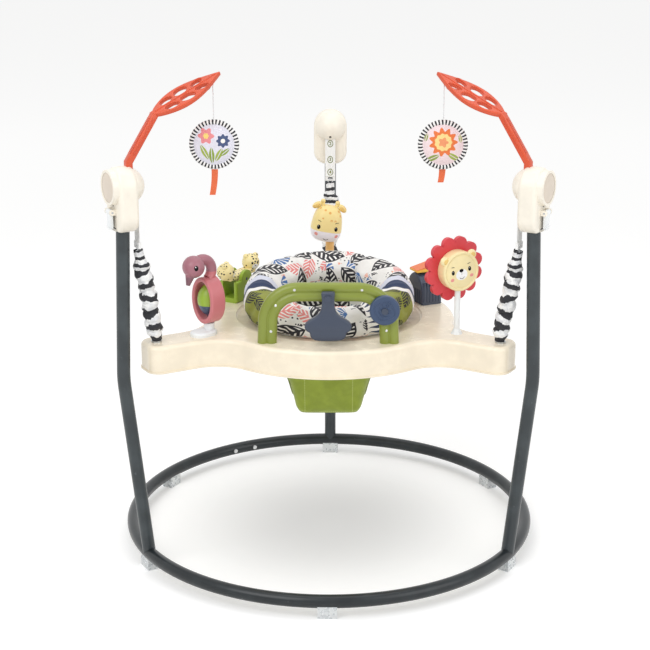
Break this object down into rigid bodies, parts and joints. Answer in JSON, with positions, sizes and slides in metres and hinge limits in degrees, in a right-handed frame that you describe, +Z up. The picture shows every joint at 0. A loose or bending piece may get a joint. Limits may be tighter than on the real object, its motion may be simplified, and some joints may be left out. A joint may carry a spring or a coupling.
{
  "type": "baby jumper",
  "caption": "Free-standing baby jumper: a tube ring and posts hang a toy tray on sprung straps, with a padded seat that turns in the tray.",
  "frame": {"origin": "centre of the floor ring, on the floor", "axes": "+Z up, -Y towards the front of the tray where the toy arch stands, +X to the right seen from the front"},
  "size_m": [0.8249, 0.8685, 0.9459],
  "materials": {
    "charcoal_tube": "satin powder coat",
    "clear_foot": "milky soft plastic",
    "bright_steel": "zinc plated",
    "dark_screw": "black oxide",
    "cream_plastic": "fine satin moulding",
    "white_plastic": "smooth moulding",
    "coral_plastic": "satin moulding",
    "white_webbing": "woven webbing",
    "zebra_sleeve": "gathered knit, black and white bands",
    "olive_plastic": "smooth moulding",
    "slate_plastic": "smooth moulding",
    "navy_plastic": "smooth moulding",
    "mauve_plastic": "smooth moulding",
    "lime_plastic": "smooth moulding",
    "red_plastic": "smooth moulding",
    "yellow_plastic": "smooth moulding",
    "orange_plastic": "smooth moulding",
    "seat_print": "padded printed cotton",
    "olive_cloth": "stitched polyester",
    "toy_cloth": "padded printed felt",
    "ribbon_cloth": "satin ribbon",
    "white_cord": "braided cord"
  },
  "bodies": {
    "stand": {"foot_pads": "clear_foot", "leaf_arm_left": "coral_plastic", "leaf_arm_right": "coral_plastic", "lever_pins": "bright_steel", "post_left": "charcoal_tube", "post_rear": "charcoal_tube", "post_right": "charcoal_tube", "ring_couplers": "bright_steel", "ring_screws": "dark_screw", "ring_segment_left": "charcoal_tube", "ring_segment_rear": "charcoal_tube", "ring_segment_right": "charcoal_tube", "tower_cover_left": "cream_plastic", "tower_cover_rear": "cream_plastic", "tower_cover_right": "cream_plastic", "tower_shell_left": "cream_plastic", "tower_shell_rear": "cream_plastic", "tower_shell_right": "cream_plastic"},
    "suspension": {"sleeve_left": "zebra_sleeve", "sleeve_rear": "zebra_sleeve", "sleeve_right": "zebra_sleeve", "springs": "bright_steel", "strap_left": "white_webbing", "strap_rear": "white_webbing", "strap_right": "white_webbing"},
    "tray": {"battery_door": "slate_plastic", "bird_body": "mauve_plastic", "bird_foot": "white_plastic", "giraffe_foot": "orange_plastic", "lion_face": "yellow_plastic", "lion_post": "white_plastic", "rocker_base": "lime_plastic", "sound_box": "slate_plastic", "spring_hooks": "bright_steel", "toy_arch": "olive_plastic", "toy_axles": "bright_steel", "tray_shell": "cream_plastic", "tray_underside": "cream_plastic"},
    "seat": {"seat_pad": "seat_print", "seat_retainer": "cream_plastic", "seat_ring": "cream_plastic", "seat_sling": "olive_cloth"},
    "clacker": {"clacker": "slate_plastic"},
    "leaf_disc": {"leaf_disc": "navy_plastic"},
    "bird_egg": {"bird_egg": "lime_plastic"},
    "rocker": {"rocker": "yellow_plastic"},
    "lion_mane": {"lion_mane": "red_plastic"},
    "giraffe": {"giraffe_neck": "orange_plastic", "giraffe_head": "yellow_plastic"},
    "beak_key": {"beak_key": "orange_plastic"},
    "lever_left": {"lock_lever_left": "white_plastic"},
    "lever_right": {"lock_lever_right": "white_plastic"},
    "lever_rear": {"lock_lever_rear": "white_plastic"},
    "hanging_toy_left": {"hang_cord_left": "white_cord", "hang_disc_left": "toy_cloth", "hang_ribbon_left": "ribbon_cloth"},
    "hanging_toy_right": {"hang_cord_right": "white_cord", "hang_disc_right": "toy_cloth", "hang_ribbon_right": "ribbon_cloth"}
  },
  "joints": [
    {"name": "height_adjust", "type": "slide", "parent": "stand", "child": "suspension", "axis": [0, 0, 1], "range_m": [0, 0.04]},
    {"name": "bounce", "type": "slide", "parent": "suspension", "child": "tray", "axis": [0, 0, 1], "range_m": [-0.07, 0.03], "stiffness_N_per_m": 1600, "springref_m": 0.03679, "deforming": ["sleeve_left", "sleeve_rear", "sleeve_right", "springs"]},
    {"name": "seat_spin", "type": "hinge", "parent": "tray", "child": "seat", "pos_m": [0, 0, 0.448], "axis": [0, 0, 1], "continuous": true},
    {"name": "clacker_swing", "type": "hinge", "parent": "tray", "child": "clacker", "pos_m": [0, -0.188, 0.546], "axis": [0, 1, 0], "range_deg": [-25, 25]},
    {"name": "leaf_disc_spin", "type": "hinge", "parent": "tray", "child": "leaf_disc", "pos_m": [0.104, -0.188, 0.521], "axis": [0, -1, 0], "continuous": true},
    {"name": "egg_spin", "type": "hinge", "parent": "tray", "child": "bird_egg", "pos_m": [-0.226, -0.132, 0.521], "axis": [0, 0, 1], "continuous": true},
    {"name": "seesaw", "type": "hinge", "parent": "tray", "child": "rocker", "pos_m": [-0.18533, 0.107, 0.498], "axis": [-0.866, 0.5, 0], "range_deg": [-12, 12]},
    {"name": "mane_spin", "type": "hinge", "parent": "tray", "child": "lion_mane", "pos_m": [0.243, -0.129, 0.578], "axis": [0.4602, -0.8878, 0], "continuous": true},
    {"name": "giraffe_nod", "type": "hinge", "parent": "tray", "child": "giraffe", "pos_m": [0, 0.24, 0.466], "axis": [0.9976, 0.0698, 0], "range_deg": [-10, 10], "stiffness_Nm_per_rad": 1.6},
    {"name": "beak_press", "type": "slide", "parent": "tray", "child": "beak_key", "axis": [0, 0, 1], "range_m": [-0.0025, 0], "stiffness_N_per_m": 400, "springref_m": 0.002},
    {"name": "lever_left", "type": "hinge", "parent": "stand", "child": "lever_left", "pos_m": [-0.39058, -0.2255, 0.711], "axis": [-0.5, 0.866, 0], "range_deg": [0, 70]},
    {"name": "lever_right", "type": "hinge", "parent": "stand", "child": "lever_right", "pos_m": [0.39058, -0.2255, 0.711], "axis": [-0.5, -0.866, 0], "range_deg": [0, 70]},
    {"name": "lever_rear", "type": "hinge", "parent": "stand", "child": "lever_rear", "pos_m": [0, 0.451, 0.711], "axis": [1, 0, 0], "range_deg": [0, 70]},
    {"name": "toy_swing_left", "type": "hinge", "parent": "stand", "child": "hanging_toy_left", "pos_m": [-0.20963, -0.12103, 0.92155], "axis": [0, 1, 0], "range_deg": [-25, 25]},
    {"name": "toy_swing_right", "type": "hinge", "parent": "stand", "child": "hanging_toy_right", "pos_m": [0.20963, -0.12103, 0.92155], "axis": [0, 1, 0], "range_deg": [-25, 25]}
  ]
}
